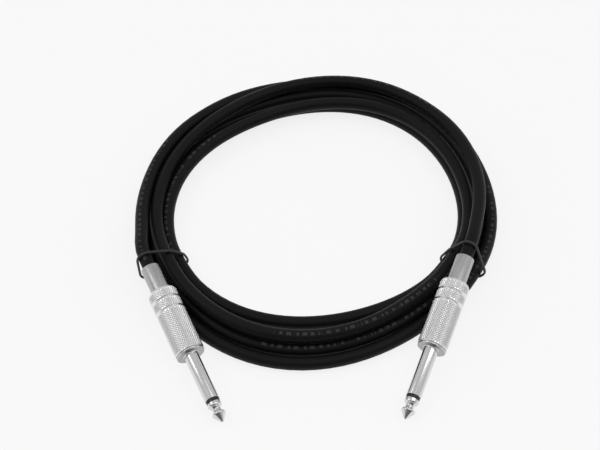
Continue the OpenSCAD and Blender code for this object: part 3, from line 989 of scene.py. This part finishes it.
# %% Finishes of the inner pieces
def make_plain(name, low, high, roughness, scale, metallic=0.0):
    plain = Finish(name, Metallic=metallic)
    cloud = plain.speckle(plain.place(), scale)
    fine = plain.speckle(plain.place(), scale * 12, detail=2.0)
    plain.feed(Base_Color=plain.between(cloud, low, high), Roughness=roughness + cloud * 0.2)
    plain.relief(fine, 0.00001)
    return plain.done()


COPPER = ((0.75, 0.36, 0.20), (0.90, 0.50, 0.32))
BRAID = ((0.70, 0.34, 0.20), (0.88, 0.50, 0.34))
CORE = ((0.80, 0.80, 0.76), (0.90, 0.90, 0.87))
BOARD = ((0.24, 0.12, 0.05), (0.36, 0.20, 0.09))
NYLON = ((0.72, 0.70, 0.64), (0.84, 0.82, 0.77))
CARD = ((0.62, 0.55, 0.40), (0.74, 0.68, 0.54))
TIN = ((0.62, 0.61, 0.58), (0.76, 0.75, 0.72))
INNER = {
    "rod_insulator": make_plain("natural_insulator", *NYLON, 0.35, 300),
    "rear_bush": make_plain("brown_board", *BOARD, 0.55, 500),
    "tip_lug": make_plain("tinned_lug", *TIN, 0.22, 400, 1.0),
    "ground_tag": make_plain("tinned_tag", *TIN, 0.25, 300, 1.0),
    "liner": make_plain("liner_card", *CARD, 0.6, 250),
    "core_insulation": make_plain("white_core", *CORE, 0.4, 400),
    "core_conductor": make_plain("copper_core", *COPPER, 0.25, 900, 1.0),
    "shield_pigtail": make_plain("copper_shield", *BRAID, 0.35, 900, 1.0),
}
for side in SIDES:
    for node, material in INNER.items():
        piece = frame["nodes"][f"{side}_{node}"]
        piece.data.materials.clear()
        piece.data.materials.append(material)
print("inner pieces dressed:", 2 * len(INNER))

# %% Solder
SOLDER = make_plain("solder", (0.60, 0.60, 0.59), (0.80, 0.80, 0.79), 0.16, 500, 1.0)
DROP_R = 0.8
DROP_UNEVEN = 0.12    # share of the radius
DROP_LUMPS = 1.7      # lumps per mm
DROPS = {"tip_solder": (Vector((0, -1.45, 45.8)), (0.95, 0.55, 1.5)),
         "ground_solder": (Vector((0, 2.6, 46.7)), (1.5, 0.6, 1.6))}


def solder_drop(place, stretch):
    """A drop that has run along its joint."""
    bm = bmesh.new()
    bmesh.ops.create_icosphere(bm, subdivisions=3, radius=DROP_R)
    for v in bm.verts:
        v.co *= 1 + DROP_UNEVEN * noise.noise(v.co * DROP_LUMPS + place)
    bmesh.ops.scale(bm, vec=stretch, verts=bm.verts)
    bmesh.ops.translate(bm, vec=place, verts=bm.verts)
    bmesh.ops.recalc_face_normals(bm, faces=bm.faces)
    return bm


for side in SIDES:
    for part, (place, stretch) in DROPS.items():
        dress(solder_drop(place, stretch), side, part, "lead", SOLDER, [], sharp=60)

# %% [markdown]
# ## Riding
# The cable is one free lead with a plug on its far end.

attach(cable, "lead")
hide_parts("cable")
print("declared", round(cable_length * MM, 3), "m of cable")

# %% [markdown]
# ## Floor and light
# The lead lies on a white sheet between two soft boxes, above it on the left and the right, with
# a weaker one in front. Their long reflections draw the round of the metal, and the world, a plain
# white tent, dims towards the front to leave it a dark facet. The sheet's lit part keeps the
# shadow, and the rest is its own white, which camera, mirror and glass rays see. It could be made
# white with more light, but that would bleach the lead.

# %% Floor
FLOOR_GLOW = 0.82
FLOOR_REACH = 4.0


def make_floor():
    """White paper that keeps a light shadow: part of what is seen is lit, part is its own white."""
    sheet = Finish("white_sheet", Roughness=0.9, Specular_IOR_Level=0.1)
    grain = sheet.speckle(sheet.place(), 40.0)
    sheet.feed(Base_Color=sheet.between(grain, grey(0.92), grey(0.94)))
    seen, mirrored, through = (sheet.node("ShaderNodeLightPath", output=f"Is {kind} Ray")
                               for kind in ("Camera", "Glossy", "Transmission"))
    share = (seen + mirrored + through) * FLOOR_GLOW
    glow = sheet.node("ShaderNodeEmission", inputs={"Color": (1, 1, 1, 1), "Strength": 1.0})
    lit = Value(sheet, sheet.shader.outputs["BSDF"])
    mixed = sheet.node("ShaderNodeMixShader", inputs={0: share, 1: lit, 2: glow})
    sheet.links.new(mixed.socket, sheet.nodes["Material Output"].inputs["Surface"])
    return sheet.done()


floor_bm = bmesh.new()
bmesh.ops.create_grid(floor_bm, x_segments=1, y_segments=1, size=FLOOR_REACH)
floor = finish_mesh(floor_bm, "floor")
floor.data.materials.append(make_floor())

# %% World
WORLD_LEVEL = 0.65
ROOM_LEVEL = 0.15
ROOM_FROM, ROOM_TO = -0.85, -0.35    # directions towards the front, as their y


def make_world():
    """A plain white tent, dimmer towards the room in front, so that metal shows a dark facet."""
    world = bpy.data.worlds.new("studio")
    tent = Nodes(world)
    way = tent.node("ShaderNodeTexCoord", output="Generated")
    level = tent.node("ShaderNodeMapRange", {"interpolation_type": "SMOOTHSTEP"},
                      {"Value": tent.part(way, "Y"), "From Min": ROOM_FROM, "From Max": ROOM_TO,
                       "To Min": ROOM_LEVEL, "To Max": WORLD_LEVEL})
    tent.nodes["Background"].inputs["Color"].default_value = (1, 1, 1, 1)
    tent.links.new(level.socket, tent.nodes["Background"].inputs["Strength"])
    print("world of", WORLD_LEVEL, "and in front", ROOM_LEVEL)
    return world


bpy.context.scene.world = make_world()


# %% Lamps
def soft_lamp(name, direction, distance, size, radiance):
    """A rectangular lamp that faces the lead; its power follows from its size and brightness."""
    data = bpy.data.lights.new(name, "AREA")
    data.shape = "RECTANGLE"
    data.size, data.size_y = size
    data.energy = radiance * math.pi * size[0] * size[1]
    lamp = bpy.data.objects.new(name, data)
    bpy.context.scene.collection.objects.link(lamp)
    lamp.location = Vector(direction).normalized() * distance
    lamp.rotation_euler = (-lamp.location).to_track_quat("-Z", "Y").to_euler()
    print(name, round(data.energy, 2), "W")


# name, direction, distance in m, size in m, brightness
soft_lamp("left_softbox", (-0.70, -0.03, 0.71), 1.0, (0.42, 0.32), 2.0)
soft_lamp("right_softbox", (0.50, -0.08, 0.87), 1.0, (0.26, 0.75), 1.6)
soft_lamp("front_softbox", (0.0, -0.45, 0.90), 1.2, (0.5, 0.5), 0.8)
bpy.context.scene.view_settings.view_transform = "Standard"
